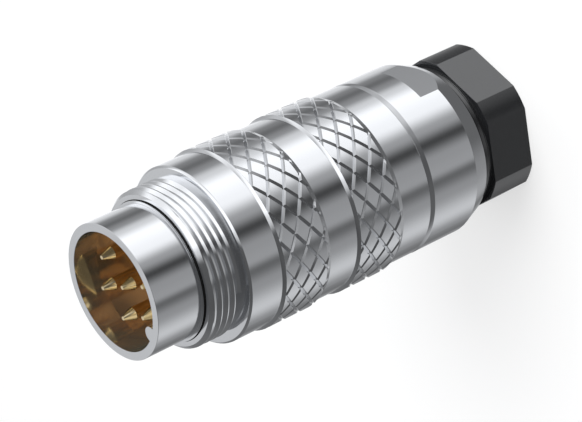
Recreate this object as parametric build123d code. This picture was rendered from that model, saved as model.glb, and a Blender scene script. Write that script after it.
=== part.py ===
from build123d import *
import math
import os

# Male circular cable connector with a knurled locking ring and a cable gland.
# Millimetres, +Z up. The connector stands on its gland nut, and Z is its axis.
# Depths are measured back from the mating face. Angles are seen from the mating side.
# +X is the normal of one wrench flat, and the empty contact place lies on it too.

# Clearances
turning_clearance = 0.05
sliding_clearance = 0.05
thread_clearance = 0.08
axial_clearance = 0.05
cut_margin = 1.0

# Front shell
shell_radius = 6.8
shell_wall = 1.05
mouth_chamfer = 0.2
lip_depth = 4.83
lip_height = 0.25
lip_thickness = 0.17
seal_groove_depth = 0.3
seal_groove_length = 1.0
flange_height = 0.75
flange_length = 2.2
tail_wall = 1.15
land_length = 2.9
rear_thread_length = 3.0
key_radius = 0.8
key_sink = 0.1
key_angle = -106

# Contacts
cavity_depth = 8.2
pin_circle_radius = 3.5
pin_radius = 0.65
pin_setback = 1.07
pin_tip_length = 1.15
pin_tip_radius = 0.2
pin_places = 6
collar_height = 0.35
collar_length = 0.8
cup_height = 0.2
cup_length = 6.5
cup_bore_depth = 2.6
cup_wall = 0.22
insert_nose_length = 0.8
insert_length = 5.0
retainer_length = 3.0
chamber_step = 0.5

# Locking ring
nose_setback = 0.36
nose_length = 3.85
nose_wall = 0.39
thread_depth = 0.46
thread_lead = 0.45
relief_length = 0.4
grip_length = 22.33
ring_wall = 1.05
grip_chamfer = 0.2
ring_shoulder_depth = 1.2
band_height = 0.28
band_length = 5.0
band_taper = 0.62
band_1_setback = 4.03
band_2_setback = 13.22
ring_gap = 0.13

# Knurl
knurl_count = 20
knurl_period = 1.93
knurl_width = 0.36
knurl_depth = 0.18
knurl_land = 0.05
knurl_pad_drop = 0.015
knurl_angle = -35.7
knurl_1_shift = 2.84
knurl_2_shift = 2.27

# Rear shell
rear_step = 0.03
rear_chamfer_length = 0.45
rear_chamfer_drop = 0.2
rear_cylinder_length = 6.0
rear_cone_length = 2.0
rear_cone_drop = 0.76
wrench_flat_sink = 0.48
wrench_flat_length = 4.3

# Cable gland
nut_flat_wall = 0.7
nut_corner_height = 0.57
nut_angle = -15.3
nut_hex_length = 5.02
nut_ridge_height = 0.75
nut_ridge_length = 0.45
nut_neck_drop = 0.22
nut_neck_length = 0.48
nut_stem_length = 4.6
nut_bore_step = 0.13
nut_stem_wall = 0.8
cable_bore_radius = 3.4
cable_bore_chamfer = 0.5
gland_seal_thickness = 0.3
gland_seal_gap = 0.05
washer_thickness = 0.5
washer_bore_margin = 0.3
cage_wall = 0.9
cage_length = 8.5
cage_collar_length = 1.5
cage_lip_length = 0.8
cage_finger_taper = 0.35
cage_slots = 6
cage_slot_width = 0.8
seal_bore_radius = 2.5
seal_setback = 0.3

# Parts between the contacts and the gland
shield_setback = 8.5
shield_flange_thickness = 1.0
shield_stub_length = 3.0
shield_stub_radius = 4.2
shield_stub_wall = 0.9
shield_stub_taper = 0.5
braid_gap = 0.3
spacer_wall = 1.0
spacer_slit = 0.3
body_seal_thickness = 0.6
body_seal_length = 0.8

# Places along the axis, as depths behind the mating face
nose_front = lip_depth + nose_setback
grip_front = nose_front + nose_length
grip_rear = grip_front + grip_length
rear_shell_front = grip_rear + ring_gap
flange_front = grip_front + ring_shoulder_depth + axial_clearance
flange_rear = flange_front + flange_length
land_front = grip_rear - land_length
tail_end = rear_shell_front + rear_thread_length
rear_cone_front = rear_shell_front + rear_cylinder_length
rear_shell_rear = rear_cone_front + rear_cone_length
chamber_front = cavity_depth + insert_nose_length
insert_rear = chamber_front + insert_length
retainer_rear = insert_rear + retainer_length
shield_front = tail_end - shield_setback
stub_front = shield_front + shield_flange_thickness
stub_rear = stub_front + shield_stub_length
cage_front = stub_rear
cage_rear = cage_front + cage_length
washer_front = cage_rear + axial_clearance
washer_rear = washer_front + washer_thickness
nut_shoulder = washer_rear + axial_clearance
ridge_front = rear_shell_rear + 2 * gland_seal_gap + gland_seal_thickness
ridge_rear = ridge_front + nut_ridge_length
hex_front = ridge_rear + nut_neck_length
overall_length = hex_front + nut_hex_length
stem_front = ridge_front - nut_stem_length - gland_seal_thickness

# Radii that follow from the sizes above
bore_radius = shell_radius - shell_wall
lip_radius = shell_radius + lip_height
nose_bore_radius = lip_radius + turning_clearance
root_radius = nose_bore_radius + nose_wall
thread_radius = root_radius + thread_depth
seal_groove_radius = shell_radius - seal_groove_depth
flange_radius = nose_bore_radius + flange_height
ring_bore_radius = flange_radius + turning_clearance
grip_radius = ring_bore_radius + ring_wall
band_radius = grip_radius + band_height
pad_radius = band_radius - knurl_pad_drop
rear_radius = grip_radius + rear_step
rear_cone_radius = rear_radius - rear_cone_drop
wrench_flat_radius = rear_radius - wrench_flat_sink
chamber_radius = bore_radius + chamber_step
tail_radius = chamber_radius + tail_wall
inner_part_radius = chamber_radius - sliding_clearance
cup_radius = pin_radius + cup_height
collar_radius = pin_radius + collar_height
nut_bore_radius = chamber_radius - nut_bore_step
nut_stem_radius = nut_bore_radius + nut_stem_wall
gland_thread_radius = nut_stem_radius + thread_clearance
nut_flat_radius = gland_thread_radius + nut_flat_wall
nut_corner_radius = nut_flat_radius + nut_corner_height
nut_ridge_radius = gland_thread_radius + nut_ridge_height
nut_neck_radius = nut_ridge_radius - nut_neck_drop
cage_radius = nut_bore_radius - sliding_clearance
cage_bore_radius = cage_radius - cage_wall
seal_radius = cage_bore_radius - sliding_clearance


def at(depth):
    """Height above the base of a place given by its depth behind the mating face."""
    return overall_length - depth


def turned(points):
    """Solid turned about Z from an outline of (radius, depth) points."""
    outline = Polyline(*[(radius, 0, at(depth)) for radius, depth in points], close=True)
    return revolve(make_face(outline), Axis.Z)


def tube(outer, inner, front, rear):
    """Plain tube between two depths."""
    return turned([(inner, front), (outer, front), (outer, rear), (inner, rear)])


def rod(radius, front, rear):
    """Plain rod on the axis between two depths."""
    return Pos(0, 0, at(rear)) * Cylinder(
        radius, rear - front, align=(Align.CENTER, Align.CENTER, Align.MIN)
    )


def one_solid(shape):
    """The single solid of a finished shape."""
    return shape.solids()[0]


def pin_places_used():
    """Places of the outer pins. The place on +X stays empty."""
    step = 360 / pin_places
    return [Rot(0, 0, step * number) * Pos(pin_circle_radius, 0, 0) for number in range(1, pin_places)]


def front_shell():
    body = turned(
        [
            (bore_radius + mouth_chamfer, 0),
            (shell_radius, 0),
            (shell_radius, lip_depth),
            (lip_radius, lip_depth),
            (lip_radius, lip_depth + lip_thickness),
            (seal_groove_radius, lip_depth + lip_thickness),
            (seal_groove_radius, lip_depth + lip_thickness + seal_groove_length),
            (lip_radius, lip_depth + lip_thickness + seal_groove_length),
            (lip_radius, flange_front),
            (flange_radius, flange_front),
            (flange_radius, flange_rear),
            (tail_radius, flange_rear),
            (tail_radius, land_front),
            (flange_radius, land_front),
            (flange_radius, rear_shell_front),
            (tail_radius, rear_shell_front),
            (tail_radius, tail_end),
            (chamber_radius, tail_end),
            (chamber_radius, chamber_front),
            (bore_radius, chamber_front),
            (bore_radius, mouth_chamfer),
        ]
    )
    key = Rot(0, 0, key_angle) * Pos(bore_radius + key_sink, 0, 0) * rod(key_radius, 0, cavity_depth)
    inside_wall = rod(shell_radius - shell_wall / 2, 0, cavity_depth)
    body += key & inside_wall
    return one_solid(body - body_seal_room())


def body_seal_room():
    """Groove for the seal at the end of the rear thread."""
    front = rear_shell_front
    return tube(tail_radius + cut_margin, tail_radius - body_seal_thickness, front, front + body_seal_length)


def body_seal():
    outer = tail_radius
    inner = tail_radius - body_seal_thickness
    return one_solid(tube(outer, inner, rear_shell_front, rear_shell_front + body_seal_length))


def coupling_seal():
    front = lip_depth + lip_thickness
    return one_solid(tube(lip_radius, seal_groove_radius, front, front + seal_groove_length))


def contact_pin():
    """Pin on the Z axis with a conical tip, a collar and a solder cup."""
    collar_front = insert_rear - collar_length
    cup_rear = insert_rear + cup_length
    body = turned(
        [
            (0, pin_setback),
            (pin_tip_radius, pin_setback),
            (pin_radius, pin_setback + pin_tip_length),
            (pin_radius, collar_front),
            (collar_radius, collar_front),
            (collar_radius, insert_rear),
            (cup_radius, insert_rear),
            (cup_radius, cup_rear),
            (0, cup_rear),
        ]
    )
    cup_bore = rod(cup_radius - cup_wall, cup_rear - cup_bore_depth, cup_rear + cut_margin)
    window_height = cup_bore_depth - cup_wall
    window = Pos(cup_radius, 0, at(cup_rear) + window_height / 2) * Box(
        2 * cup_radius, 2 * cup_radius, window_height
    )
    return one_solid(body - cup_bore - window)


def contact_insert():
    body = turned(
        [
            (0, cavity_depth),
            (bore_radius - sliding_clearance, cavity_depth),
            (bore_radius - sliding_clearance, chamber_front),
            (inner_part_radius, chamber_front),
            (inner_part_radius, insert_rear),
            (0, insert_rear),
        ]
    )
    hole = rod(pin_radius + sliding_clearance, cavity_depth - cut_margin, insert_rear)
    hole += rod(collar_radius + sliding_clearance, insert_rear - collar_length, insert_rear + cut_margin)
    body -= hole
    for place in pin_places_used():
        body -= place * hole
    return one_solid(body)


def contact_retainer():
    body = rod(inner_part_radius, insert_rear, retainer_rear)
    hole = rod(cup_radius + sliding_clearance, insert_rear - cut_margin, retainer_rear + cut_margin)
    body -= hole
    for place in pin_places_used():
        body -= place * hole
    return one_solid(body)


def spacer_half(side):
    """Half tube between the contacts and the shield cone, on one side of the XZ plane."""
    body = tube(inner_part_radius, inner_part_radius - spacer_wall, retainer_rear, shield_front)
    reach = 2 * inner_part_radius
    half = Pos(0, side * (reach + spacer_slit) / 2, at(shield_front)) * Box(
        reach, reach, shield_front - retainer_rear, align=(Align.CENTER, Align.CENTER, Align.MIN)
    )
    return one_solid(body & half)


def shield_cone():
    """Flange and tapered stub that the cable's braid lies over."""
    inner = shield_stub_radius - shield_stub_wall - shield_stub_taper
    return one_solid(
        turned(
            [
                (inner, shield_front),
                (inner_part_radius, shield_front),
                (inner_part_radius, stub_front),
                (shield_stub_radius, stub_front),
                (shield_stub_radius - shield_stub_taper, stub_rear),
                (inner, stub_rear),
            ]
        )
    )


def shield_ring():
    """Ring with a tapered bore that clamps the braid on the stub."""
    return one_solid(
        turned(
            [
                (shield_stub_radius + braid_gap, stub_front),
                (inner_part_radius, stub_front),
                (inner_part_radius, stub_rear),
                (shield_stub_radius + braid_gap - shield_stub_taper, stub_rear),
            ]
        )
    )


def clamp_cage():
    """Slotted collet: a collar at the front and tapered fingers towards the nut."""
    lip_bore = shield_stub_radius - shield_stub_taper - shield_stub_wall
    body = turned(
        [
            (lip_bore, cage_front),
            (cage_radius, cage_front),
            (cage_radius, cage_rear - cage_wall),
            (cage_radius - cage_finger_taper, cage_rear),
            (cage_bore_radius, cage_rear),
            (cage_bore_radius, cage_front + cage_lip_length),
            (lip_bore, cage_front + cage_lip_length),
        ]
    )
    slot_length = cage_length - cage_collar_length
    slot = Pos(cage_radius, 0, at(cage_rear) - cut_margin) * Box(
        2 * cage_wall + cage_radius, cage_slot_width, slot_length + cut_margin,
        align=(Align.CENTER, Align.CENTER, Align.MIN),
    )
    for number in range(cage_slots):
        body -= Rot(0, 0, 360 / cage_slots * number) * slot
    return one_solid(body)


def cable_seal():
    front = cage_front + cage_lip_length
    return one_solid(tube(seal_radius, seal_bore_radius, front, cage_rear - seal_setback))


def thrust_washer():
    return one_solid(tube(cage_radius, cable_bore_radius + washer_bore_margin, washer_front, washer_rear))


def band_outline(front):
    """Outline points of one raised band, with a chamfer at its front and a taper at its rear."""
    return [
        (grip_radius, front - band_height),
        (band_radius, front),
        (band_radius, front + band_length),
        (grip_radius, front + band_length + band_taper),
    ]


def knurl_point(first, second, sink, crossing):
    """Point of the knurl by its place among the grooves of each family, sunk below the pads."""
    angle = math.radians(knurl_angle) + math.pi * (first + second) / knurl_count
    radius = pad_radius - sink
    height = at(crossing + knurl_period * (first - second) / 2)
    return Vector(radius * math.cos(angle), radius * math.sin(angle), height)


def triangle(*corners):
    return Face(Wire.make_polygon(corners))


def knurl_diamond(first, second, crossing):
    """Faces of one raised diamond: two for its pad, and two for each groove wall round it."""
    half_groove = knurl_width / 2 * math.hypot(knurl_count / (math.tau * pad_radius), 1 / knurl_period)
    bottoms = []
    pads = []
    for step_first, step_second in ((0, 0), (1, 0), (1, 1), (0, 1)):
        bottoms.append(knurl_point(first + step_first, second + step_second, knurl_depth, crossing))
        pad_first = first + half_groove + step_first * (1 - 2 * half_groove)
        pad_second = second + half_groove + step_second * (1 - 2 * half_groove)
        pads.append(knurl_point(pad_first, pad_second, 0, crossing))
    faces = [triangle(pads[0], pads[1], pads[3]), triangle(pads[1], pads[2], pads[3])]
    for corner in range(4):
        following = (corner + 1) % 4
        faces.append(triangle(bottoms[corner], bottoms[following], pads[following]))
        faces.append(triangle(bottoms[corner], pads[following], pads[corner]))
    return faces


def knurl_end(row, side, crossing):
    """Faces that close the knurled drum with a flat-sided cone on the axis."""
    tip = Vector(0, 0, at(crossing + knurl_period * row / 2))
    rim = []
    for step in range(2 * knurl_count):
        span = row + side * ((step + row) % 2)
        rim.append(knurl_point((step + span) / 2, (step - span) / 2, knurl_depth, crossing))
    return [triangle(tip, rim[step - 1], rim[step]) for step in range(2 * knurl_count)]


def knurled_drum(front, rear, crossing):
    """Solid drum with two families of grooves round it. Two grooves cross at the given depth."""
    first_row = math.floor(2 * (front - crossing) / knurl_period) - 1
    last_row = math.ceil(2 * (rear - crossing) / knurl_period) + 1
    faces = knurl_end(first_row, -1, crossing) + knurl_end(last_row, 1, crossing)
    for row in range(first_row, last_row + 1):
        for column in range(knurl_count):
            second = column - math.floor(row / 2)
            faces += knurl_diamond(second + row, second, crossing)
    return Solid(Shell(faces))


def knurl_waste(front, shift):
    """What the knurling tools take off one band, whose front edge is at the given depth."""
    start = front + knurl_land
    end = front + band_length + band_taper
    room = tube(band_radius + cut_margin, ring_bore_radius, start, end)
    return room - knurled_drum(start, end, front + shift)


def locking_ring():
    shoulder = grip_front + ring_shoulder_depth
    body = turned(
        [
            (nose_bore_radius, nose_front),
            (root_radius, nose_front),
            (thread_radius, nose_front + thread_lead),
            (thread_radius, grip_front - relief_length),
            (root_radius, grip_front - relief_length),
            (root_radius, grip_front),
            (grip_radius - grip_chamfer, grip_front),
            (grip_radius, grip_front + grip_chamfer),
            *band_outline(grip_front + band_1_setback),
            *band_outline(grip_front + band_2_setback),
            (grip_radius, grip_rear),
            (ring_bore_radius, grip_rear),
            (ring_bore_radius, shoulder),
            (nose_bore_radius, shoulder),
        ]
    )
    body -= knurl_waste(grip_front + band_1_setback, knurl_1_shift)
    body -= knurl_waste(grip_front + band_2_setback, knurl_2_shift)
    return one_solid(body)


def rear_shell():
    body = turned(
        [
            (tail_radius + thread_clearance, rear_shell_front),
            (rear_radius - rear_chamfer_drop, rear_shell_front),
            (rear_radius, rear_shell_front + rear_chamfer_length),
            (rear_radius, rear_cone_front),
            (rear_cone_radius, rear_shell_rear),
            (gland_thread_radius, rear_shell_rear),
            (gland_thread_radius, tail_end + axial_clearance),
            (tail_radius + thread_clearance, tail_end + axial_clearance),
        ]
    )
    flat = Pos(wrench_flat_radius, 0, at(rear_shell_rear) - cut_margin) * Box(
        rear_radius, 2 * rear_radius, wrench_flat_length + cut_margin,
        align=(Align.MIN, Align.CENTER, Align.MIN),
    )
    body -= flat
    body -= Rot(0, 0, 180) * flat
    return one_solid(body)


def gland_nut():
    hexagon = RegularPolygon(nut_flat_radius, 6, major_radius=False, rotation=nut_angle + 30)
    rounded_corners = rod(nut_corner_radius, hex_front - cut_margin, overall_length + cut_margin)
    body = extrude(hexagon, at(hex_front)) & rounded_corners
    body += turned(
        [
            (0, stem_front),
            (nut_stem_radius, stem_front),
            (nut_stem_radius, ridge_front),
            (nut_ridge_radius, ridge_front),
            (nut_ridge_radius, ridge_rear),
            (nut_neck_radius, ridge_rear),
            (nut_neck_radius, overall_length),
            (0, overall_length),
        ]
    )
    body -= turned(
        [
            (0, stem_front - cut_margin),
            (nut_bore_radius, stem_front - cut_margin),
            (nut_bore_radius, nut_shoulder),
            (cable_bore_radius, nut_shoulder),
            (cable_bore_radius, overall_length - cable_bore_chamfer),
            (cable_bore_radius + cable_bore_chamfer + cut_margin, overall_length + cut_margin),
            (0, overall_length + cut_margin),
        ]
    )
    return one_solid(body)


def gland_seal():
    """Seal on the neck of the nut, just behind the rear shell."""
    front = rear_shell_rear + gland_seal_gap
    return one_solid(
        tube(nut_ridge_radius, nut_stem_radius, front, front + gland_seal_thickness + gland_seal_gap)
    )


def build():
    pin = contact_pin()
    nodes = {
        "front_shell": front_shell(),
        "locking_ring": locking_ring(),
        "coupling_seal": coupling_seal(),
        "pin_centre": pin,
        "contact_insert": contact_insert(),
        "contact_retainer": contact_retainer(),
        "spacer_left": spacer_half(1),
        "spacer_right": spacer_half(-1),
        "shield_cone": shield_cone(),
        "shield_ring": shield_ring(),
        "cable_seal": cable_seal(),
        "clamp_cage": clamp_cage(),
        "thrust_washer": thrust_washer(),
        "body_seal": body_seal(),
        "rear_shell": rear_shell(),
        "gland_nut": gland_nut(),
        "gland_seal": gland_seal(),
    }
    for number, place in enumerate(pin_places_used(), start=1):
        nodes[f"pin_{number}"] = place * pin
    return nodes


os.makedirs("parts", exist_ok=True)
for name, shape in build().items():
    export_step(shape, f"parts/{name}.step")
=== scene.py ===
import itertools
import math

import bmesh
import bpy
from mathutils import Matrix, Vector

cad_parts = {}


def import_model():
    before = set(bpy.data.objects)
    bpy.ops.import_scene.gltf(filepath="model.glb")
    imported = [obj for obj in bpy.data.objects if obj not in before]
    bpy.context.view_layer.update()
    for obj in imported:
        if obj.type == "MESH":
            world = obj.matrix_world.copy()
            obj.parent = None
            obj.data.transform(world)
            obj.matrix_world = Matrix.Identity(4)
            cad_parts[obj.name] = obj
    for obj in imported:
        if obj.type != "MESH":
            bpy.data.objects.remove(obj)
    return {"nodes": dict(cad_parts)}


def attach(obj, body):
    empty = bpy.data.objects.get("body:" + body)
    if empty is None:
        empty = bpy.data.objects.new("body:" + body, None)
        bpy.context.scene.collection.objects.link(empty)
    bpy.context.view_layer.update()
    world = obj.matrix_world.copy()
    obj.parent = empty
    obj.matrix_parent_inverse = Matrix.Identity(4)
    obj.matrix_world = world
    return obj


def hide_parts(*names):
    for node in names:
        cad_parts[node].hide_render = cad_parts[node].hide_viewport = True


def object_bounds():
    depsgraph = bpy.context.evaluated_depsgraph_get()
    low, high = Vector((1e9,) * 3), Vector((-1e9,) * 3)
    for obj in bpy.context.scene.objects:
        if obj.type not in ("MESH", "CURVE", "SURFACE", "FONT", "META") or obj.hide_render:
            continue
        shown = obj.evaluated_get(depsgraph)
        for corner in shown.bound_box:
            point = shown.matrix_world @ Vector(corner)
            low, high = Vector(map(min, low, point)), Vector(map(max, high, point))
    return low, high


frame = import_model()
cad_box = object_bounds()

# Sizes in metres. Depths are measured back from the mating face, along the axis.
MM = 0.001
OVERALL_LENGTH = cad_box[1][2] - cad_box[0][2]

# Meshes. Points nearer than a weld become one, and cutters reach past what they cut by a margin.
SEGMENTS = 192
KEY_SEGMENTS = 48
FINE_WELD = MM / 1e5
SKIN_WELD = MM / 1e4
CUT_MARGIN = 1.0 * MM
SHARP_ANGLE = math.radians(15)
AREA_WEIGHT = 100

# Small roundings that catch the light along the edges. None takes more than a third of an edge.
EDGE = 0.03 * MM
EDGE_PARTS = 3

# Front shell
SHELL_RADIUS = 6.8 * MM
SHELL_WALL = 1.05 * MM
MOUTH_STEP = 0.2 * MM
MOUTH_TAPER_LENGTH = 2.5 * MM
LIP_DEPTH = 5.01 * MM
LIP_HEIGHT = 0.25 * MM
LIP_THICKNESS = 0.04 * MM
SEAL_GROOVE_DEPTH = 0.3 * MM
SEAL_GROOVE_LENGTH = 1.0 * MM
CAVITY_DEPTH = 8.2 * MM
INSERT_NOSE_LENGTH = 0.8 * MM
CHAMBER_STEP = 0.5 * MM
TAIL_WALL = 1.15 * MM
FLANGE_HEIGHT = 0.75 * MM
FLANGE_LENGTH = 2.2 * MM
LAND_LENGTH = 2.9 * MM
REAR_THREAD_LENGTH = 3.0 * MM
KEY_RADIUS = 0.8 * MM
KEY_SINK = 0.1 * MM
KEY_ANGLE = math.radians(-106)

# Contacts of the outer circle
OUTER_PINS = 5

# Locking ring
TURNING_CLEARANCE = 0.05 * MM
AXIAL_CLEARANCE = 0.05 * MM
NOSE_FRONT = 5.21 * MM
NOSE_WALL = 0.39 * MM
CREST_HEIGHT = 0.46 * MM
GRIP_FRONT = 9.04 * MM
GRIP_LENGTH = 22.33 * MM
RING_WALL = 1.05 * MM
GRIP_CHAMFER = 0.2 * MM
RING_SHOULDER_DEPTH = 1.2 * MM
BAND_HEIGHT = 0.28 * MM
BAND_LENGTH = 5.0 * MM
BAND_TAPER = 0.62 * MM
BAND_SETBACKS = (4.03 * MM, 13.22 * MM)
RING_GAP = 0.13 * MM

# Coupling thread. Its run-out is in turns, and its spare turns are sliced away at both ends.
THREAD_DEPTH = 0.38 * MM
THREAD_PITCH = 0.75 * MM
THREAD_CREST_WIDTH = 0.1 * MM
THREAD_FLANK_LENGTH = 0.34 * MM
THREAD_REAR_LENGTH = 0.2 * MM
THREAD_LEAD = 0.37 * MM
THREAD_FIRST_CREST = 5.285 * MM
THREAD_START_ANGLE = math.radians(132)
THREAD_TURNS = 4.614
THREAD_RUNOUT = 0.1
GROOVE_TURNS = 4
SPARE_TURNS = 2
FLANK_STEPS = 4

# Knurl. Two places of its lattice are the same when they agree to one in LATTICE_STEPS.
KNURL_COUNT = 20
KNURL_PERIOD = 1.93 * MM
KNURL_WIDTH = 0.36 * MM
KNURL_DEPTH = 0.18 * MM
KNURL_ANGLE = math.radians(-35.7)
KNURL_SHIFTS = (2.84 * MM, 2.27 * MM)
PAD_STEPS = 5
LATTICE_STEPS = 1e4

# How far the turned body of the ring stays under the skins of its bands and its nose
CORE_MARGIN = 0.04 * MM
CORE_SETBACK = BAND_TAPER / 4

# Rear shell
REAR_STEP = 0.03 * MM
REAR_CHAMFER_LENGTH = 0.45 * MM
REAR_CHAMFER_DROP = 0.2 * MM
REAR_CYLINDER_LENGTH = 6.0 * MM
REAR_CONE_LENGTH = 2.0 * MM
REAR_CONE_DROP = 0.76 * MM
WRENCH_FLAT_SINK = 0.48 * MM
WRENCH_FLAT_LENGTH = 4.3 * MM
THREAD_CLEARANCE = 0.08 * MM

# Gland nut
NUT_SIDES = 6
NUT_FLAT_WALL = 0.7 * MM
NUT_CORNER_HEIGHT = 0.57 * MM
NUT_ANGLE = math.radians(-15.3)
NUT_RIDGE_HEIGHT = 0.75 * MM
NUT_RIDGE_LENGTH = 0.45 * MM
NUT_NECK_DROP = 0.22 * MM
NUT_NECK_LENGTH = 0.48 * MM
NUT_BEAD_HEIGHT = 0.1 * MM
NUT_BEAD_SETBACK = 0.12 * MM
NUT_BEAD_LENGTH = 0.12 * MM
NUT_STEM_LENGTH = 4.6 * MM
NUT_STEM_WALL = 0.8 * MM
NUT_BORE_STEP = 0.13 * MM
CABLE_BORE_RADIUS = 3.4 * MM
CABLE_BORE_CHAMFER = 0.5 * MM
NUT_SHOULDER = 39.1 * MM
GLAND_SEAL_THICKNESS = 0.3 * MM
GLAND_SEAL_GAP = 0.05 * MM

# Looks. Faces that turn to the front by more than the mouth's slope aren't part of the bore.
GLOSSY_IOR = 2.0
MOUTH_SLOPE = 0.3

# Floor. Its glow is what it adds to the light it scatters, so that it shows white where it's open.
FLOOR_REACH = 4.0
FLOOR_DROP = 0.02 * MM
FLOOR_GREY = 0.4
FLOOR_GLOW = 0.62

# Camera, as the photograph sees the connector
CAMERA_AZIMUTH = math.radians(-48.0)
CAMERA_ELEVATION = math.radians(32.6)
CAMERA_ROLL = math.radians(-115.2)
CAMERA_DISTANCE = 252 * MM
CAMERA_LENS = 162.5
CAMERA_CLIP_START = 10 * MM
CAMERA_TARGET = Vector((-0.16 * MM, -0.15 * MM, 24.56 * MM))

# Places and radii worked out from the sizes above
GRIP_REAR = GRIP_FRONT + GRIP_LENGTH
REAR_SHELL_FRONT = GRIP_REAR + RING_GAP
TAIL_END = REAR_SHELL_FRONT + REAR_THREAD_LENGTH
SEAL_FRONT = LIP_DEPTH + LIP_THICKNESS
SEAL_REAR = SEAL_FRONT + SEAL_GROOVE_LENGTH
RING_SHOULDER = GRIP_FRONT + RING_SHOULDER_DEPTH
FLANGE_FRONT = RING_SHOULDER + AXIAL_CLEARANCE
FLANGE_REAR = FLANGE_FRONT + FLANGE_LENGTH
LAND_FRONT = GRIP_REAR - LAND_LENGTH
CHAMBER_FRONT = CAVITY_DEPTH + INSERT_NOSE_LENGTH
REAR_CONE_FRONT = REAR_SHELL_FRONT + REAR_CYLINDER_LENGTH
REAR_SHELL_REAR = REAR_CONE_FRONT + REAR_CONE_LENGTH
BORE_RADIUS = SHELL_RADIUS - SHELL_WALL
LIP_RADIUS = SHELL_RADIUS + LIP_HEIGHT
SEAL_RADIUS = SHELL_RADIUS - SEAL_GROOVE_DEPTH
NOSE_BORE_RADIUS = LIP_RADIUS + TURNING_CLEARANCE
ROOT_RADIUS = NOSE_BORE_RADIUS + NOSE_WALL
NOSE_CORE_RADIUS = ROOT_RADIUS - CORE_MARGIN
THREAD_RADIUS = ROOT_RADIUS + CREST_HEIGHT
LEAD_RADIUS = THREAD_RADIUS - THREAD_LEAD
FLANGE_RADIUS = NOSE_BORE_RADIUS + FLANGE_HEIGHT
RING_BORE_RADIUS = FLANGE_RADIUS + TURNING_CLEARANCE
GRIP_RADIUS = RING_BORE_RADIUS + RING_WALL
BAND_RADIUS = GRIP_RADIUS + BAND_HEIGHT
BAND_CORE_RADIUS = BAND_RADIUS - KNURL_DEPTH - CORE_MARGIN
REAR_RADIUS = GRIP_RADIUS + REAR_STEP
CHAMBER_RADIUS = BORE_RADIUS + CHAMBER_STEP
TAIL_RADIUS = CHAMBER_RADIUS + TAIL_WALL
NUT_BORE_RADIUS = CHAMBER_RADIUS - NUT_BORE_STEP
NUT_STEM_RADIUS = NUT_BORE_RADIUS + NUT_STEM_WALL
GLAND_THREAD_RADIUS = NUT_STEM_RADIUS + THREAD_CLEARANCE
NUT_FLAT_RADIUS = GLAND_THREAD_RADIUS + NUT_FLAT_WALL
NUT_CORNER_RADIUS = NUT_FLAT_RADIUS + NUT_CORNER_HEIGHT
NUT_RIDGE_RADIUS = GLAND_THREAD_RADIUS + NUT_RIDGE_HEIGHT
NUT_NECK_RADIUS = NUT_RIDGE_RADIUS - NUT_NECK_DROP
RIDGE_FRONT = REAR_SHELL_REAR + 2 * GLAND_SEAL_GAP + GLAND_SEAL_THICKNESS
RIDGE_REAR = RIDGE_FRONT + NUT_RIDGE_LENGTH
HEX_FRONT = RIDGE_REAR + NUT_NECK_LENGTH
BEAD_FRONT = RIDGE_REAR + NUT_BEAD_SETBACK
BEAD_REAR = BEAD_FRONT + NUT_BEAD_LENGTH
STEM_FRONT = RIDGE_FRONT - NUT_STEM_LENGTH - GLAND_SEAL_THICKNESS

# Half the width of a groove of the knurl, as a share of the distance between two grooves
HALF_GROOVE = KNURL_WIDTH / 2 * math.hypot(KNURL_COUNT / (math.tau * BAND_RADIUS), 1 / KNURL_PERIOD)


def height(depth):
    """Height above the base of a place given by its depth behind the mating face."""
    return OVERALL_LENGTH - depth


def spot(radius, angle, depth):
    """Point at a radius and an angle about the axis, and at a depth."""
    return (radius * math.cos(angle), radius * math.sin(angle), height(depth))


# Meshes


def linked(name, data):
    """New object in the scene that holds the data."""
    made = bpy.data.objects.new(name, data)
    bpy.context.scene.collection.objects.link(made)
    return made


def new_object(name, vertices, faces):
    """Object from vertices and faces."""
    mesh = bpy.data.meshes.new(name)
    mesh.from_pydata(vertices, [], faces)
    mesh.update()
    return linked(name, mesh)


def mesh_object(name, mesh):
    """Object from a bmesh, which is used up."""
    data = bpy.data.meshes.new(name)
    mesh.to_mesh(data)
    mesh.free()
    return linked(name, data)


def rounded(outline, radius):
    """Closed outline with every corner cut by a small three-point arc."""
    points = [Vector(point) for point in outline]
    result = []
    for index, corner in enumerate(points):
        before = points[index - 1] - corner
        after = points[(index + 1) % len(points)] - corner
        cut = min(radius, before.length / EDGE_PARTS, after.length / EDGE_PARTS)
        start = corner + before.normalized() * cut
        end = corner + after.normalized() * cut
        middle = (start + end) / 4 + corner / 2
        result += [start, middle, end]
    return result


def turned(name, outline, edge=EDGE, segments=SEGMENTS):
    """Closed solid turned about Z from (radius, depth) corners."""
    points = rounded(outline, edge) if edge else [Vector(point) for point in outline]
    count = len(points)
    vertices = []
    for step in range(segments):
        angle = math.tau * step / segments
        for radius, depth in points:
            vertices.append(spot(radius, angle, depth))
    faces = []
    for step in range(segments):
        here = step * count
        there = (step + 1) % segments * count
        for index in range(count):
            following = (index + 1) % count
            faces.append((here + index, here + following, there + following, there + index))
    piece = new_object(name, vertices, faces)
    outward(piece)
    return piece


def outward(piece):
    """Turns all faces of a closed piece to face outwards."""
    mesh = bmesh.new()
    mesh.from_mesh(piece.data)
    bmesh.ops.remove_doubles(mesh, verts=mesh.verts, dist=FINE_WELD)
    bmesh.ops.recalc_face_normals(mesh, faces=mesh.faces)
    mesh.to_mesh(piece.data)
    mesh.free()


def face_away(mesh):
    """Turns the faces of an open skin away from the axis."""
    mesh.normal_update()
    for face in mesh.faces:
        centre = face.calc_center_median()
        if face.normal.dot(Vector((centre.x, centre.y, 0))) < 0:
            face.normal_flip()


def draw_in(point, radius):
    """Moves a point straight in or out to a radius."""
    scale = radius / math.hypot(point.co.x, point.co.y)
    point.co.x *= scale
    point.co.y *= scale


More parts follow.
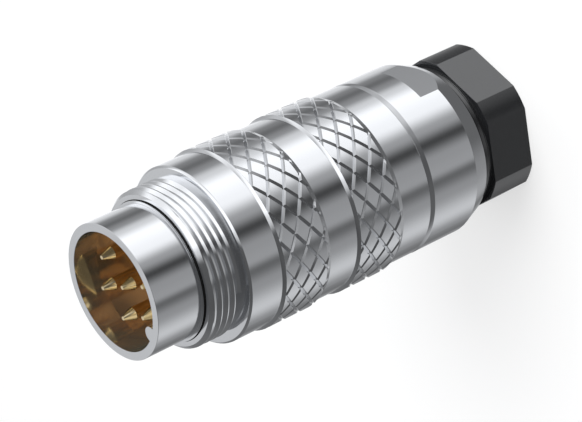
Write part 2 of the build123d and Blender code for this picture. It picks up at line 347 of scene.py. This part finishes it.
def slice_away(mesh, depth, clear_front=False, clear_rear=False):
    """Cuts a mesh along the plane at a depth, and drops what lies on the side asked for."""
    everything = mesh.verts[:] + mesh.edges[:] + mesh.faces[:]
    bmesh.ops.bisect_plane(
        mesh, geom=everything, dist=FINE_WELD, plane_co=(0, 0, height(depth)), plane_no=(0, 0, 1),
        clear_outer=clear_front, clear_inner=clear_rear,
    )


def box(name, low, high):
    """Plain cutter block between two corners, used only for boolean cuts."""
    corners = list(itertools.product(*zip(low, high)))
    faces = [(0, 1, 3, 2), (4, 6, 7, 5), (0, 4, 5, 1), (2, 3, 7, 6), (0, 2, 6, 4), (1, 5, 7, 3)]
    piece = new_object(name, corners, faces)
    outward(piece)
    return piece


def combine(piece, other, operation):
    """Boolean of a piece with another, which is used up."""
    modifier = piece.modifiers.new("cut", "BOOLEAN")
    modifier.operation = operation
    modifier.solver = "EXACT"
    modifier.object = other
    graph = bpy.context.evaluated_depsgraph_get()
    mesh = bpy.data.meshes.new_from_object(piece.evaluated_get(graph))
    piece.modifiers.remove(modifier)
    piece.data = mesh
    bpy.data.objects.remove(other)


def join(name, pieces):
    """One object that holds the meshes of several."""
    mesh = bmesh.new()
    for piece in pieces:
        mesh.from_mesh(piece.data)
        bpy.data.objects.remove(piece)
    return mesh_object(name, mesh)


def shade(piece):
    """Smooth faces, with sharp edges where two faces meet at more than the angle set for it."""
    for polygon in piece.data.polygons:
        polygon.use_smooth = True
    piece.data.set_sharp_from_angle(angle=SHARP_ANGLE)
    weights = piece.modifiers.new("weighted_normals", "WEIGHTED_NORMAL")
    weights.keep_sharp = True
    weights.weight = AREA_WEIGHT


# Pieces


def front_shell():
    shell = turned(
        "front_shell_dressed",
        [
            (BORE_RADIUS + MOUTH_STEP, 0),
            (SHELL_RADIUS, 0),
            (SHELL_RADIUS, LIP_DEPTH),
            (LIP_RADIUS, LIP_DEPTH),
            (LIP_RADIUS, SEAL_FRONT),
            (SEAL_RADIUS, SEAL_FRONT),
            (SEAL_RADIUS, SEAL_REAR),
            (LIP_RADIUS, SEAL_REAR),
            (LIP_RADIUS, FLANGE_FRONT),
            (FLANGE_RADIUS, FLANGE_FRONT),
            (FLANGE_RADIUS, FLANGE_REAR),
            (TAIL_RADIUS, FLANGE_REAR),
            (TAIL_RADIUS, LAND_FRONT),
            (FLANGE_RADIUS, LAND_FRONT),
            (FLANGE_RADIUS, REAR_SHELL_FRONT),
            (TAIL_RADIUS, REAR_SHELL_FRONT),
            (TAIL_RADIUS, TAIL_END),
            (CHAMBER_RADIUS, TAIL_END),
            (CHAMBER_RADIUS, CHAMBER_FRONT),
            (BORE_RADIUS, CHAMBER_FRONT),
            (BORE_RADIUS, MOUTH_TAPER_LENGTH),
        ],
    )
    combine(shell, key_rib(), "UNION")
    return shell


def key_rib():
    corners = [(0, 0), (KEY_RADIUS, 0), (KEY_RADIUS, CAVITY_DEPTH), (0, CAVITY_DEPTH)]
    rib = turned("key_rib", corners, edge=0, segments=KEY_SEGMENTS)
    centre = BORE_RADIUS + KEY_SINK
    shift = Vector((centre * math.cos(KEY_ANGLE), centre * math.sin(KEY_ANGLE), 0))
    rib.data.transform(Matrix.Translation(shift))
    return rib


def thread_profile():
    """Outline of one turn of thread: (offset along the axis from a crest's middle, fall below it)."""
    crest = [(-THREAD_CREST_WIDTH / 2, 0), (0, 0), (THREAD_CREST_WIDTH / 2, 0)]
    root = THREAD_CREST_WIDTH / 2 + THREAD_REAR_LENGTH
    top = THREAD_PITCH - THREAD_CREST_WIDTH / 2
    flank = [
        (top - THREAD_FLANK_LENGTH * step / FLANK_STEPS, THREAD_DEPTH * step / FLANK_STEPS)
        for step in range(FLANK_STEPS, 0, -1)
    ]
    return crest + [(root, THREAD_DEPTH)] + flank


def thread_radius(turns, offset, fall):
    """Radius of the thread. Its groove runs out at both ends, and its last crest ends in a step."""
    on_next_flank = turns < GROOVE_TURNS and offset > THREAD_PITCH / 2
    if turns + on_next_flank > THREAD_TURNS:
        return ROOT_RADIUS
    shallow = min(turns, GROOVE_TURNS - turns) / THREAD_RUNOUT
    return THREAD_RADIUS - fall * min(max(shallow, 0), 1)


def threaded_nose():
    """Skin of the nose with its coupling thread, which follows one helix."""
    profile = thread_profile()
    rows = []
    mesh = bmesh.new()
    for step in range(SEGMENTS + 1):
        share = step / SEGMENTS
        angle = THREAD_START_ANGLE - math.tau * share
        row = []
        for turn in range(-SPARE_TURNS, GROOVE_TURNS + SPARE_TURNS):
            for offset, fall in profile:
                radius = thread_radius(turn + share, offset, fall)
                depth = THREAD_FIRST_CREST + (turn + share) * THREAD_PITCH + offset
                row.append(mesh.verts.new(spot(radius, angle, depth)))
        rows.append(row)
    for here, there in zip(rows, rows[1:]):
        for index in range(len(here) - 1):
            mesh.faces.new((here[index], here[index + 1], there[index + 1], there[index]))
    bmesh.ops.remove_doubles(mesh, verts=mesh.verts, dist=SKIN_WELD)
    slice_away(mesh, NOSE_FRONT, clear_front=True)
    slice_away(mesh, GRIP_FRONT + CORE_MARGIN, clear_rear=True)
    for point in mesh.verts:
        behind = OVERALL_LENGTH - point.co.z - NOSE_FRONT
        draw_in(point, min(LEAD_RADIUS + behind, math.hypot(point.co.x, point.co.y)))
    face_away(mesh)
    return mesh_object("threaded_nose", mesh)


def groove_fall(lattice):
    """How deep a groove is at a lattice coordinate: 1 on its line and 0 on the pads."""
    from_line = abs(lattice - round(lattice))
    return max(0, 1 - from_line / HALF_GROOVE)


def knurl_radius(depth, angle, front, shift):
    """Radius of a knurled band at one place, with its rear taper."""
    turn = KNURL_COUNT * (angle - KNURL_ANGLE) / math.tau
    axial = (depth - front - shift) / KNURL_PERIOD
    fall = max(groove_fall(turn + axial), groove_fall(turn - axial))
    taper_start = front + BAND_LENGTH
    taper = BAND_RADIUS - max(0, depth - taper_start) * BAND_HEIGHT / BAND_TAPER
    return min(BAND_RADIUS - KNURL_DEPTH * fall, taper)


def diamonds(first_row, last_row):
    """The diamonds of a knurl, each by its place among the grooves of either family."""
    for row in range(first_row, last_row + 1):
        for column in range(KNURL_COUNT):
            left = column + (row + row % 2) // 2
            yield left, left - row


def diamond_breaks():
    """Where a diamond is divided along each side: half a groove, the steps of its pad, half a groove."""
    pad = [HALF_GROOVE + (1 - 2 * HALF_GROOVE) * step / PAD_STEPS for step in range(PAD_STEPS + 1)]
    return [0, *pad, 1]


def square_faces(one, two, last):
    """Faces of one square of a diamond, as numbers of its corners. Where grooves cross there are two."""
    crossing = one in (0, last) and two in (0, last)
    if crossing and one == two:
        return [(0, 1, 2), (0, 2, 3)]
    if crossing:
        return [(0, 1, 3), (1, 2, 3)]
    return [(0, 1, 2, 3)]


def knurled_band(name, front, shift):
    """Skin of one band: a lattice of raised diamonds between two families of grooves."""
    breaks = diamond_breaks()
    squares = range(len(breaks) - 1)
    rear = front + BAND_LENGTH + BAND_TAPER
    first_row = math.floor(2 * -shift / KNURL_PERIOD) - 1
    last_row = math.ceil(2 * (rear - front - shift) / KNURL_PERIOD) + 1
    mesh = bmesh.new()
    known = {}

    def vertex(first, second):
        key = (round(first * LATTICE_STEPS), round(second * LATTICE_STEPS))
        if key not in known:
            depth = front + shift + KNURL_PERIOD * (first - second) / 2
            angle = KNURL_ANGLE + math.pi * (first + second) / KNURL_COUNT
            known[key] = mesh.verts.new(spot(BAND_RADIUS, angle, depth))
        return known[key]

    for left, right in diamonds(first_row, last_row):
        for one, two in itertools.product(squares, repeat=2):
            corners = [
                vertex(left + breaks[one + far_left], right + breaks[two + far_right])
                for far_left, far_right in ((0, 0), (1, 0), (1, 1), (0, 1))
            ]
            for face in square_faces(one, two, squares[-1]):
                mesh.faces.new([corners[number] for number in face])
    bmesh.ops.remove_doubles(mesh, verts=mesh.verts, dist=SKIN_WELD)
    slice_away(mesh, front, clear_front=True)
    slice_away(mesh, front + BAND_LENGTH)
    slice_away(mesh, rear, clear_rear=True)
    for point in mesh.verts:
        angle = math.atan2(point.co.y, point.co.x)
        radius = knurl_radius(OVERALL_LENGTH - point.co.z, angle, front, shift)
        point.co.x = radius * math.cos(angle)
        point.co.y = radius * math.sin(angle)
    face_away(mesh)
    return mesh_object(name, mesh)


def band_core(front):
    """Corners of the ring's outline under one knurled band."""
    rear = front + BAND_LENGTH + BAND_TAPER * (BAND_RADIUS - BAND_CORE_RADIUS) / BAND_HEIGHT
    return [
        (GRIP_RADIUS, front - BAND_HEIGHT),
        (BAND_RADIUS, front),
        (BAND_CORE_RADIUS, front),
        (BAND_CORE_RADIUS, rear - CORE_SETBACK),
        (GRIP_RADIUS, front + BAND_LENGTH + BAND_TAPER - CORE_MARGIN),
    ]


def locking_ring():
    fronts = [GRIP_FRONT + setback for setback in BAND_SETBACKS]
    body = turned(
        "ring_body",
        [
            (NOSE_BORE_RADIUS, NOSE_FRONT),
            (LEAD_RADIUS, NOSE_FRONT),
            (NOSE_CORE_RADIUS, NOSE_FRONT + LEAD_RADIUS - ROOT_RADIUS),
            (NOSE_CORE_RADIUS, GRIP_FRONT),
            (GRIP_RADIUS - GRIP_CHAMFER, GRIP_FRONT),
            (GRIP_RADIUS, GRIP_FRONT + GRIP_CHAMFER),
            *band_core(fronts[0]),
            *band_core(fronts[1]),
            (GRIP_RADIUS, GRIP_REAR),
            (RING_BORE_RADIUS, GRIP_REAR),
            (RING_BORE_RADIUS, RING_SHOULDER),
            (NOSE_BORE_RADIUS, RING_SHOULDER),
        ],
        edge=EDGE / 2,
    )
    bands = [
        knurled_band(f"band_{number}", front, shift)
        for number, (front, shift) in enumerate(zip(fronts, KNURL_SHIFTS), start=1)
    ]
    return join("locking_ring_dressed", [body, threaded_nose(), *bands])


def rear_shell():
    shell = turned(
        "rear_shell_dressed",
        [
            (TAIL_RADIUS + THREAD_CLEARANCE, REAR_SHELL_FRONT),
            (REAR_RADIUS - REAR_CHAMFER_DROP, REAR_SHELL_FRONT),
            (REAR_RADIUS, REAR_SHELL_FRONT + REAR_CHAMFER_LENGTH),
            (REAR_RADIUS, REAR_CONE_FRONT),
            (REAR_RADIUS - REAR_CONE_DROP, REAR_SHELL_REAR),
            (GLAND_THREAD_RADIUS, REAR_SHELL_REAR),
            (GLAND_THREAD_RADIUS, TAIL_END + AXIAL_CLEARANCE),
            (TAIL_RADIUS + THREAD_CLEARANCE, TAIL_END + AXIAL_CLEARANCE),
        ],
    )
    flat = REAR_RADIUS - WRENCH_FLAT_SINK
    low = height(REAR_SHELL_REAR) - CUT_MARGIN
    high = height(REAR_SHELL_REAR - WRENCH_FLAT_LENGTH)
    reach = 2 * REAR_RADIUS
    combine(shell, box("flat_cutter", (flat, -reach, low), (reach, reach, high)), "DIFFERENCE")
    combine(shell, box("flat_cutter", (-reach, -reach, low), (-flat, reach, high)), "DIFFERENCE")
    return shell


def hexagon_prism():
    """Hexagonal block that gives the nut its flats. Beside the neck it widens, to keep the front part."""
    half_side = 180 / NUT_SIDES
    corner = NUT_FLAT_RADIUS / math.cos(math.radians(half_side))
    reach = 2 * corner
    step = height(BEAD_REAR)
    vertices = []
    for level, radius in ((-CUT_MARGIN, corner), (step, corner), (step, reach), (height(0), reach)):
        for side in range(NUT_SIDES):
            angle = NUT_ANGLE + math.radians(half_side * (1 + 2 * side))
            vertices.append((radius * math.cos(angle), radius * math.sin(angle), level))
    top = len(vertices) - NUT_SIDES
    faces = [tuple(range(NUT_SIDES)), tuple(range(top, len(vertices)))]
    for low in range(0, top, NUT_SIDES):
        high = low + NUT_SIDES
        for side in range(NUT_SIDES):
            following = (side + 1) % NUT_SIDES
            faces.append((low + side, low + following, high + following, high + side))
    prism = new_object("hexagon_prism", vertices, faces)
    outward(prism)
    return prism


def gland_nut():
    nut = turned(
        "gland_nut_dressed",
        [
            (NUT_BORE_RADIUS, STEM_FRONT),
            (NUT_STEM_RADIUS, STEM_FRONT),
            (NUT_STEM_RADIUS, RIDGE_FRONT),
            (NUT_RIDGE_RADIUS, RIDGE_FRONT),
            (NUT_RIDGE_RADIUS, RIDGE_REAR),
            (NUT_NECK_RADIUS, RIDGE_REAR),
            (NUT_NECK_RADIUS, BEAD_FRONT),
            (NUT_NECK_RADIUS + NUT_BEAD_HEIGHT, BEAD_FRONT),
            (NUT_NECK_RADIUS + NUT_BEAD_HEIGHT, BEAD_REAR),
            (NUT_NECK_RADIUS, BEAD_REAR),
            (NUT_NECK_RADIUS, HEX_FRONT),
            (NUT_CORNER_RADIUS, HEX_FRONT),
            (NUT_CORNER_RADIUS, OVERALL_LENGTH),
            (CABLE_BORE_RADIUS + CABLE_BORE_CHAMFER, OVERALL_LENGTH),
            (CABLE_BORE_RADIUS, OVERALL_LENGTH - CABLE_BORE_CHAMFER),
            (CABLE_BORE_RADIUS, NUT_SHOULDER),
            (NUT_BORE_RADIUS, NUT_SHOULDER),
        ],
    )
    combine(nut, hexagon_prism(), "INTERSECT")
    return nut


def seal_ring(name, inner, outer, front, rear):
    """Rubber ring with well rounded edges."""
    corners = [(inner, front), (outer, front), (outer, rear), (inner, rear)]
    return turned(name, corners, edge=(outer - inner) / EDGE_PARTS)


# Materials


def material(name, colour, metallic, roughness):
    """Principled material, its node tree and its shader."""
    made = bpy.data.materials.new(name)
    made.use_nodes = True
    shader = made.node_tree.nodes["Principled BSDF"]
    shader.inputs["Base Color"].default_value = (*colour, 1)
    shader.inputs["Metallic"].default_value = metallic
    shader.inputs["Roughness"].default_value = roughness
    return made, made.node_tree, shader


def add(tree, kind, **values):
    """New node with its properties set."""
    node = tree.nodes.new(kind)
    for name, value in values.items():
        setattr(node, name, value)
    return node


def vary_roughness(tree, shader, low, high, scale, stretch=(1, 1, 1)):
    """Varies the roughness over the surface with soft noise, and gives the noise."""
    coordinates = add(tree, "ShaderNodeTexCoord")
    mapping = add(tree, "ShaderNodeMapping")
    mapping.inputs["Scale"].default_value = stretch
    noise = add(tree, "ShaderNodeTexNoise")
    noise.inputs["Scale"].default_value = scale
    spread = add(tree, "ShaderNodeMapRange")
    spread.inputs["To Min"].default_value = low
    spread.inputs["To Max"].default_value = high
    tree.links.new(coordinates.outputs["Object"], mapping.inputs["Vector"])
    tree.links.new(mapping.outputs["Vector"], noise.inputs["Vector"])
    tree.links.new(noise.outputs["Fac"], spread.inputs["Value"])
    tree.links.new(spread.outputs["Result"], shader.inputs["Roughness"])
    return noise


def grain(tree, shader, noise, strength, distance):
    """Fine bump from a noise node."""
    bump = add(tree, "ShaderNodeBump")
    bump.inputs["Strength"].default_value = strength
    bump.inputs["Distance"].default_value = distance
    tree.links.new(noise.outputs["Fac"], bump.inputs["Height"])
    tree.links.new(bump.outputs["Normal"], shader.inputs["Normal"])


def plated_metal():
    """Polished nickel plating with faint turning lines round the axis."""
    made, tree, shader = material("plated_metal", (0.84, 0.85, 0.87), metallic=1.0, roughness=0.1)
    noise = vary_roughness(tree, shader, low=0.08, high=0.13, scale=900, stretch=(0.05, 0.05, 6))
    grain(tree, shader, noise, strength=0.02, distance=0.02 * MM)
    return made


def bore_metal_painted_reflection():
    """Nickel-plated inside of the front shell, with a painted brass tint that stands in for the brown
    reflections of the insert and pins.
    """
    made, tree, shader = material("bore_metal_painted_reflection", (0.82, 0.76, 0.62), metallic=0.95, roughness=0.1)
    vary_roughness(tree, shader, low=0.06, high=0.12, scale=700, stretch=(0.05, 0.05, 4))
    return made


def gold():
    """Plating of the contacts."""
    made, tree, shader = material("gold_plating", (0.97, 0.8, 0.5), metallic=1.0, roughness=0.12)
    vary_roughness(tree, shader, low=0.08, high=0.16, scale=1500)
    return made


def black_plastic():
    """Satin moulded plastic with a very fine grain."""
    made, tree, shader = material("black_plastic", (0.02, 0.021, 0.023), metallic=0.0, roughness=0.2)
    shader.inputs["IOR"].default_value = GLOSSY_IOR
    noise = vary_roughness(tree, shader, low=0.16, high=0.24, scale=2500)
    grain(tree, shader, noise, strength=0.05, distance=0.01 * MM)
    return made


def rubber():
    """Dull black rubber of the seals."""
    made, tree, shader = material("black_rubber", (0.006, 0.006, 0.006), metallic=0.0, roughness=0.6)
    noise = vary_roughness(tree, shader, low=0.5, high=0.7, scale=1800)
    grain(tree, shader, noise, strength=0.1, distance=0.01 * MM)
    return made


def moulded(name, colour):
    """Plain moulded plastic of the hidden parts."""
    made, tree, shader = material(name, colour, metallic=0.0, roughness=0.5)
    noise = vary_roughness(tree, shader, low=0.42, high=0.6, scale=1500)
    grain(tree, shader, noise, strength=0.06, distance=0.01 * MM)
    return made


def inner_metal():
    """Unpolished brass of the screen clamp and the washer."""
    made, tree, shader = material("inner_metal", (0.62, 0.55, 0.42), metallic=1.0, roughness=0.3)
    vary_roughness(tree, shader, low=0.25, high=0.36, scale=900, stretch=(0.05, 0.05, 6))
    return made


def paint(piece, *materials):
    """Gives a piece these materials and no others."""
    piece.data.materials.clear()
    for each in materials:
        piece.data.materials.append(each)


def paint_bore(shell):
    """Gives the faces inside the mating cavity the second material, which carries the painted reflection
    tint.
    """
    limit = BORE_RADIUS + MOUTH_STEP + EDGE / 2
    for polygon in shell.data.polygons:
        centre = polygon.center
        inside = math.hypot(centre.x, centre.y) < limit
        faces_front = polygon.normal.z > MOUTH_SLOPE
        if inside and not faces_front:
            polygon.material_index = 1


# Assembly


def place(piece, body, slot, nodes, *materials):
    """Makes a piece ride on its body and stand for its nodes."""
    paint(piece, *materials)
    shade(piece)
    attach(piece, body)
    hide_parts(*nodes)


def dress_nodes(looks):
    """Gives each CAD node that stays its material."""
    for names, look in looks:
        for name in names:
            paint(frame["nodes"][name], look)


def build_object():
    """Makes the pieces that replace solids, and paints the solids that stay."""
    metal = plated_metal()
    # The bore's material is the plating with a painted brass tint for the brown reflections inside the
    # cavity.
    bore = bore_metal_painted_reflection()
    gilt = gold()
    plastic = black_plastic()
    soft = rubber()
    shell = front_shell()
    place(shell, "housing", "plated_metal", ["front_shell"], metal, bore)
    paint_bore(shell)
    place(locking_ring(), "locking_ring", "plated_metal", ["locking_ring"], metal)
    place(rear_shell(), "housing", "plated_metal", ["rear_shell"], metal)
    place(gland_nut(), "gland_nut", "black_plastic", ["gland_nut"], plastic)
    coupling_seal = seal_ring("coupling_seal_dressed", SEAL_RADIUS, LIP_RADIUS, SEAL_FRONT, SEAL_REAR)
    place(coupling_seal, "housing", "black_rubber", ["coupling_seal"], soft)
    gland_front = REAR_SHELL_REAR + GLAND_SEAL_GAP
    gland_seal = seal_ring("gland_seal_dressed", NUT_STEM_RADIUS, NUT_RIDGE_RADIUS, gland_front, RIDGE_FRONT)
    place(gland_seal, "gland_nut", "black_rubber", ["gland_seal"], soft)
    dress_nodes(
        [
            (["pin_centre"] + [f"pin_{number}" for number in range(1, OUTER_PINS + 1)], gilt),
            (["contact_insert", "contact_retainer"], moulded("insert_plastic", (0.42, 0.22, 0.09))),
            (["spacer_left", "spacer_right", "clamp_cage"], moulded("grey_plastic", (0.3, 0.31, 0.33))),
            (["shield_cone", "shield_ring", "thrust_washer"], inner_metal()),
            (["body_seal", "cable_seal"], soft),
        ]
    )


# Surroundings


def floor():
    """Plain white floor. It keeps the shadow, and shows white to the camera elsewhere."""
    reach = FLOOR_REACH
    corners = [(-reach, -reach, 0), (reach, -reach, 0), (reach, reach, 0), (-reach, reach, 0)]
    plane = new_object("floor", corners, [(0, 1, 2, 3)])
    made, tree, shader = material("floor", (FLOOR_GREY, FLOOR_GREY, FLOOR_GREY), metallic=0.0, roughness=0.9)
    rays = add(tree, "ShaderNodeLightPath")
    share = add(tree, "ShaderNodeMath", operation="MULTIPLY")
    share.inputs[1].default_value = FLOOR_GLOW
    tree.links.new(rays.outputs["Is Camera Ray"], share.inputs[0])
    glow = add(tree, "ShaderNodeEmission")
    tree.links.new(share.outputs["Value"], glow.inputs["Strength"])
    total = add(tree, "ShaderNodeAddShader")
    tree.links.new(shader.outputs["BSDF"], total.inputs[0])
    tree.links.new(glow.outputs["Emission"], total.inputs[1])
    output = tree.nodes["Material Output"]
    tree.links.new(total.outputs["Shader"], output.inputs["Surface"])
    plane.data.materials.append(made)
    plane.visible_glossy = False
    plane.location.z = -FLOOR_DROP


STUDIO_TINT = (0.97, 0.982, 1.0)

# Belts of soft boxes round the object, from low to high, each as (bearing in degrees, brightness)
FLOOR_BELT = [(-150, 0.28), (-90, 0.14), (60, 0.14), (85, 0.4), (110, 0.85), (150, 0.5)]
SIDE_BELT = [
    (-153, 0.64), (-118, 0.32), (-98, 0.14), (-86, 0.36), (-68, 0.33), (-48, 0.06), (-30, 0.38), (-8, 1.1),
    (20, 1.25), (38, 0.75), (52, 0.3), (66, 0.16), (78, 0.24), (100, 0.75), (122, 1.0), (132, 0.8),
    (142, 0.42), (152, 0.27), (163, 0.18), (174, 0.22),
]
MIDDLE_BELT = [
    (-165, 0.14), (-128, 0.12), (-68, 0.1), (-48, 0.1), (-28, 0.29), (-8, 0.7), (12, 0.85), (32, 0.53),
    (52, 0.4), (72, 0.6), (92, 0.45), (115, 0.4), (140, 0.5), (160, 0.18),
]
HIGH_BELT = [
    (-165, 0.12), (-128, 0.09), (-108, 0.075), (-50, 0.08), (-28, 0.15), (-8, 0.3), (12, 0.42), (32, 0.8),
    (52, 1.0), (75, 1.25), (95, 1.25), (115, 0.62), (140, 0.58), (160, 0.18),
]
TOP_BELT = [
    (-165, 0.1), (-72, 0.1), (-48, 0.75), (-35, 1.25), (90, 1.25), (115, 0.62), (140, 0.62), (160, 0.15),
]
ZENITH_BELT = [(-165, 0.1), (-72, 0.1), (-45, 1.25), (90, 1.25), (115, 0.62), (140, 0.62), (160, 0.12)]

# Belts above the floor's, each with the two heights between which it takes over, as sines of elevation
UPPER_BELTS = [
    (SIDE_BELT, -0.82, -0.72), (MIDDLE_BELT, -0.3, -0.02), (HIGH_BELT, 0.3, 0.45), (TOP_BELT, 0.58, 0.72),
    (ZENITH_BELT, 0.93, 0.98),
]


def soft_boxes(tree):
    """Brightness of the studio in every direction, as one socket."""
    direction = add(tree, "ShaderNodeTexCoord")
    split = add(tree, "ShaderNodeSeparateXYZ")
    tree.links.new(direction.outputs["Generated"], split.inputs["Vector"])
    bearing = add(tree, "ShaderNodeMath", operation="ARCTAN2")
    tree.links.new(split.outputs["Y"], bearing.inputs[0])
    tree.links.new(split.outputs["X"], bearing.inputs[1])
    turn = add(tree, "ShaderNodeMapRange")
    turn.inputs["From Min"].default_value = -math.pi
    turn.inputs["From Max"].default_value = math.pi
    tree.links.new(bearing.outputs["Value"], turn.inputs["Value"])
    light = belt(tree, turn, FLOOR_BELT)
    for stops, low, high in UPPER_BELTS:
        rise = add(tree, "ShaderNodeMapRange", interpolation_type="SMOOTHSTEP")
        rise.inputs["From Min"].default_value = low
        rise.inputs["From Max"].default_value = high
        tree.links.new(split.outputs["Z"], rise.inputs["Value"])
        blend = add(tree, "ShaderNodeMix", data_type="FLOAT")
        tree.links.new(rise.outputs["Result"], blend.inputs["Factor"])
        tree.links.new(light, blend.inputs["A"])
        tree.links.new(belt(tree, turn, stops), blend.inputs["B"])
        light = blend.outputs["Result"]
    return light


def world():
    """Studio of soft boxes in belts. The camera itself sees plain white."""
    made = bpy.data.worlds.new("studio")
    made.use_nodes = True
    tree = made.node_tree
    tree.nodes.clear()
    studio = add(tree, "ShaderNodeBackground")
    studio.inputs["Color"].default_value = (*STUDIO_TINT, 1)
    tree.links.new(soft_boxes(tree), studio.inputs["Strength"])
    white = add(tree, "ShaderNodeBackground")
    white.inputs["Color"].default_value = (1, 1, 1, 1)
    rays = add(tree, "ShaderNodeLightPath")
    choice = add(tree, "ShaderNodeMixShader")
    tree.links.new(rays.outputs["Is Camera Ray"], choice.inputs["Fac"])
    tree.links.new(studio.outputs["Background"], choice.inputs[1])
    tree.links.new(white.outputs["Background"], choice.inputs[2])
    output = add(tree, "ShaderNodeOutputWorld")
    tree.links.new(choice.outputs["Shader"], output.inputs["Surface"])
    bpy.context.scene.world = made


def belt(tree, turn, stops):
    """Brightness round the horizon as one socket. Stops are (bearing in degrees, brightness)."""
    ramp = add(tree, "ShaderNodeValToRGB")
    tree.links.new(turn.outputs["Result"], ramp.inputs["Fac"])
    colours = ramp.color_ramp
    colours.interpolation = "EASE"
    first, first_level = stops[0]
    last, last_level = stops[-1]
    share = (180 - last) / (first + 360 - last)
    seam = last_level + (first_level - last_level) * share
    for bearing, _ in stops:
        colours.elements.new((bearing + 180) / 360)
    levels = [seam] + [level for _, level in stops] + [seam]
    for element, level in zip(colours.elements, levels):
        element.color = (level, level, level, 1)
    return ramp.outputs["Color"]


def lamp(name, azimuth, elevation, distance, size, power):
    """Soft lamp, placed in degrees, that points at the object's middle and isn't mirrored in it."""
    data = bpy.data.lights.new(name, "AREA")
    data.shape = "DISK"
    data.size = size
    data.energy = power
    light = linked(name, data)
    away = bearing_vector(math.radians(azimuth), math.radians(elevation))
    light.location = Vector((0, 0, OVERALL_LENGTH / 2)) + away * distance
    light.rotation_euler = away.to_track_quat("Z", "Y").to_euler()
    light.visible_glossy = False


def bearing_vector(azimuth, elevation):
    """Direction of length one from the object."""
    level = math.cos(elevation)
    return Vector((level * math.cos(azimuth), level * math.sin(azimuth), math.sin(elevation)))


def camera():
    """Camera at the photograph's angle. It is rolled, because the photograph shows the axis tilted."""
    data = bpy.data.cameras.new("camera")
    data.lens = CAMERA_LENS
    data.clip_start = CAMERA_CLIP_START
    eye = linked("camera", data)
    away = bearing_vector(CAMERA_AZIMUTH, CAMERA_ELEVATION)
    upright = away.to_track_quat("Z", "Y").to_matrix().to_4x4()
    roll = Matrix.Rotation(CAMERA_ROLL, 4, "Z")
    eye.matrix_world = Matrix.Translation(CAMERA_TARGET + away * CAMERA_DISTANCE) @ upright @ roll
    bpy.context.scene.camera = eye


build_object()
floor()
world()
lamp("key_lamp", azimuth=2, elevation=55, distance=0.5, size=0.3, power=1.5)
lamp("fill_lamp", azimuth=-108, elevation=35, distance=0.6, size=0.4, power=0.8)
camera()
bpy.context.scene.view_settings.view_transform = "Standard"
